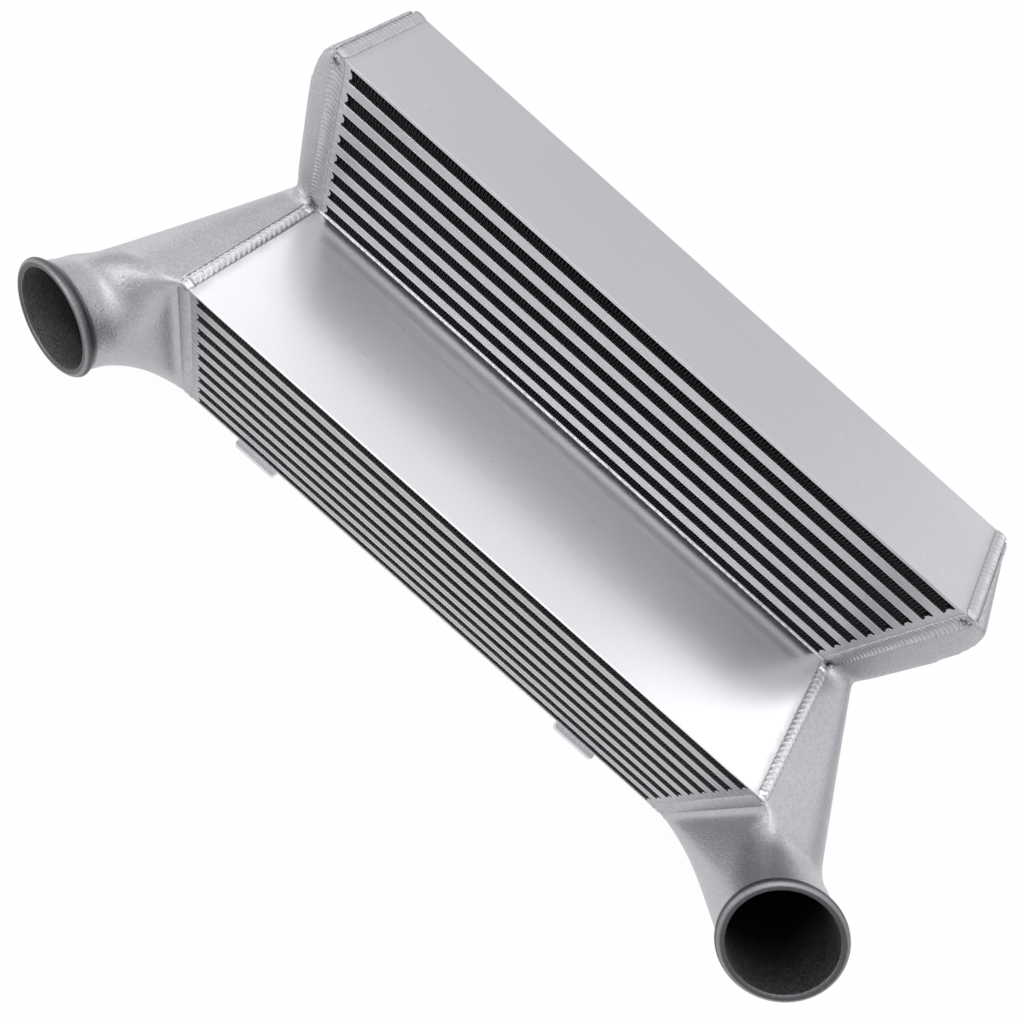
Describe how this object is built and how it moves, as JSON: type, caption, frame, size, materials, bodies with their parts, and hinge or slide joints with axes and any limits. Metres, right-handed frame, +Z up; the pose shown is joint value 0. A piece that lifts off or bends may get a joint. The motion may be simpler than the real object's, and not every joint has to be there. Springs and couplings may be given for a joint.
{
  "type": "intercooler",
  "caption": "Stepped bar-and-plate intercooler core with a cast, welded end tank and a round lipped outlet at each end, and flat mounting tabs below its front edge.",
  "frame": {"origin": "centre of the core's underside, on the outer face of the bottom plate", "axes": "+X along the core from the left tank to the right tank, +Y from the outlets' side to the flat rear face, +Z up from the bottom plate to the top plate"},
  "size_m": [0.707, 0.3054, 0.2758],
  "materials": {
    "rolled_plate": "satin",
    "bright_plate": "bright rolled",
    "drawn_bar": "satin",
    "fin_strip": "dull",
    "cast_aluminium": "sand cast, brushed",
    "weld_bead": "rippled weld",
    "tab_plate": "satin"
  },
  "bodies": {
    "root": {"bottom_plate": "rolled_plate", "left_end_tank": "cast_aluminium", "left_mounting_tab": "tab_plate", "left_tank_weld": "weld_bead", "lower_air_fin_1": "fin_strip", "lower_air_fin_2": "fin_strip", "lower_air_fin_3": "fin_strip", "lower_air_fin_4": "fin_strip", "lower_air_fin_5": "fin_strip", "lower_air_fin_6": "fin_strip", "lower_air_fin_7": "fin_strip", "lower_air_fin_8": "fin_strip", "lower_air_fin_9": "fin_strip", "lower_front_bars": "drawn_bar", "lower_left_end_bars": "drawn_bar", "lower_parting_sheets": "rolled_plate", "lower_rear_bars": "drawn_bar", "lower_right_end_bars": "drawn_bar", "lower_turbulators": "fin_strip", "right_end_tank": "cast_aluminium", "right_mounting_tab": "tab_plate", "right_tank_weld": "weld_bead", "step_plate": "bright_plate", "top_plate": "rolled_plate", "upper_air_fin_1": "fin_strip", "upper_air_fin_2": "fin_strip", "upper_air_fin_3": "fin_strip", "upper_air_fin_4": "fin_strip", "upper_air_fin_5": "fin_strip", "upper_air_fin_6": "fin_strip", "upper_air_fin_7": "fin_strip", "upper_air_fin_8": "fin_strip", "upper_base_plate": "rolled_plate", "upper_front_bars": "drawn_bar", "upper_left_end_bars": "drawn_bar", "upper_parting_sheets": "rolled_plate", "upper_rear_bars": "drawn_bar", "upper_right_end_bars": "drawn_bar", "upper_turbulators": "fin_strip"}
  },
  "joints": []
}
